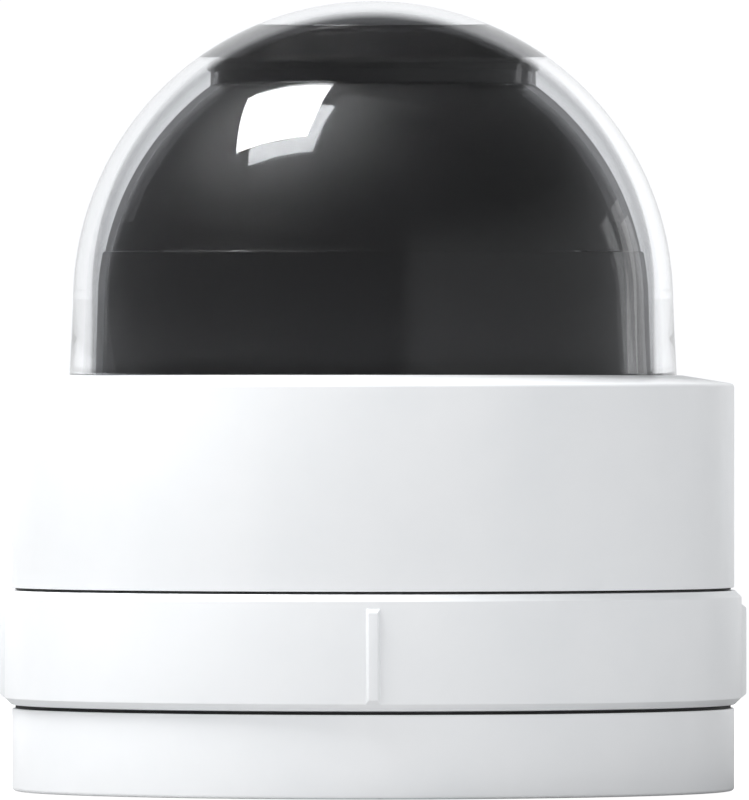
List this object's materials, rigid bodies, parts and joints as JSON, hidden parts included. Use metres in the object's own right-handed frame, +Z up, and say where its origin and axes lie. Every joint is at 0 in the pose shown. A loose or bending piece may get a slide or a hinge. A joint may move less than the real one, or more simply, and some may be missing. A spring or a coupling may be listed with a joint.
{
  "type": "ptz camera",
  "caption": "Compact pan-tilt-zoom dome camera: white cylindrical body with a twist-lock grip ring, and a clear dome over a smoked turret cover and a black tilting camera ball.",
  "frame": {"origin": "centre of the underside of the base, on the surface it stands on", "axes": "+Z up along the pan axis; -Y is the side with the parking notch; the lens tilts from +Z towards +Y"},
  "size_m": [0.1104, 0.1104, 0.1167],
  "materials": {
    "white_shell": "satin moulded plastic",
    "clear_dome": "clear polished acrylic",
    "smoked_cover": "smoked polished polycarbonate",
    "black_plastic": "fine satin",
    "ball_black": "smooth satin",
    "black_rubber": "matt",
    "grey_rubber": "matt soft rubber",
    "black_anodised": "black anodised",
    "aluminium": "bead blasted",
    "steel": "plated",
    "brass": "turned",
    "natural_acetal": "natural",
    "circuit_board": "green solder mask",
    "white_board": "white solder mask",
    "chip_black": "moulded epoxy",
    "capacitor_can": "sleeved can",
    "led_resin": "clear resin",
    "lens_cell": "black with coated glass",
    "lens_glass": "coated glass",
    "window_glass": "clear",
    "sensor_glass": "cover glass over silicon",
    "filter_glass": "blue-green coated"
  },
  "bodies": {
    "base": {"base_cup": "white_shell", "board_capacitors": "capacitor_can", "board_headers": "natural_acetal", "board_screws": "steel", "board_standoffs": "brass", "cable_grommet": "black_rubber", "chassis_plate": "aluminium", "chassis_screws": "steel", "clear_dome": "clear_dome", "dome_clamp_ring": "black_plastic", "dome_clamp_screws": "steel", "dome_gasket": "black_rubber", "heat_spreader": "aluminium", "housing_shell": "white_shell", "image_processor": "chip_black", "lower_seal": "black_rubber", "main_board": "circuit_board", "pan_bearing_balls": "steel", "pan_bearing_outer": "steel", "pan_motor": "steel", "reset_switch": "chip_black", "slip_ring_stator": "black_plastic", "upper_seal": "black_rubber"},
    "lock_ring": {"lock_ring": "white_shell"},
    "reset_button": {"reset_button": "black_plastic"},
    "pan_pinion": {"pan_pinion": "brass"},
    "turret": {"turret_hub": "aluminium", "pan_bearing_inner": "steel", "bearing_clip": "steel", "slip_ring_rotor": "black_plastic", "pan_gear": "natural_acetal", "turret_drum": "black_plastic", "drum_screws": "steel", "turret_cover": "smoked_cover", "cap_mask": "black_plastic", "crown_seal": "grey_rubber", "left_pivot_pin": "steel", "right_pivot_pin": "steel", "tilt_gear": "natural_acetal"},
    "camera_ball": {"ball_upper_shell": "ball_black", "ball_lower_shell": "ball_black", "ball_screws": "steel", "tilt_bushes": "natural_acetal", "camera_bracket": "aluminium", "bracket_screws": "steel", "lens_barrel": "black_anodised", "front_lens": "lens_glass", "front_window": "window_glass", "light_baffle": "grey_rubber", "led_board": "white_board", "infrared_leds": "led_resin", "tilt_motor": "steel", "tilt_motor_bracket": "steel", "sensor_board": "circuit_board", "image_sensor": "sensor_glass", "filter_frame": "black_plastic"},
    "tilt_pinion": {"tilt_pinion": "brass"},
    "zoom_group": {"zoom_group": "lens_cell"},
    "focus_group": {"focus_group": "lens_cell"},
    "filter_slide": {"ir_cut_filter": "filter_glass"}
  },
  "joints": [
    {"name": "ring_turn", "type": "hinge", "parent": "base", "child": "lock_ring", "pos_m": [0, 0, 0.021], "axis": [0, 0, 1], "range_deg": [0, 30]},
    {"name": "reset_press", "type": "slide", "parent": "base", "child": "reset_button", "axis": [0, 0, 1], "range_m": [0, 0.0008], "stiffness_N_per_m": 400, "springref_m": -0.0005},
    {"name": "pan_turn", "type": "hinge", "parent": "base", "child": "turret", "pos_m": [0, 0, 0.0235], "axis": [0, 0, 1], "continuous": true},
    {"name": "pan_pinion_spin", "type": "hinge", "parent": "base", "child": "pan_pinion", "pos_m": [0.0315, 0, 0.029], "axis": [0, 0, 1], "continuous": true},
    {"name": "tilt_swing", "type": "hinge", "parent": "turret", "child": "camera_ball", "pos_m": [0, 0, 0.0722], "axis": [-1, 0, 0], "range_deg": [0, 90]},
    {"name": "tilt_pinion_spin", "type": "hinge", "parent": "camera_ball", "child": "tilt_pinion", "pos_m": [-0.029, -0.012, 0.0722], "axis": [-1, 0, 0], "range_deg": [-5, 275]},
    {"name": "zoom_slide", "type": "slide", "parent": "camera_ball", "child": "zoom_group", "axis": [0, 0, 1], "range_m": [0, 0.006]},
    {"name": "focus_slide", "type": "slide", "parent": "camera_ball", "child": "focus_group", "axis": [0, 0, 1], "range_m": [0, 0.004]},
    {"name": "filter_shift", "type": "slide", "parent": "camera_ball", "child": "filter_slide", "axis": [1, 0, 0], "range_m": [0, 0.0055]}
  ],
  "couplings": [
    {"joint": "pan_pinion_spin", "follows": "pan_turn", "ratio": -6},
    {"joint": "tilt_pinion_spin", "follows": "tilt_swing", "ratio": 3}
  ]
}
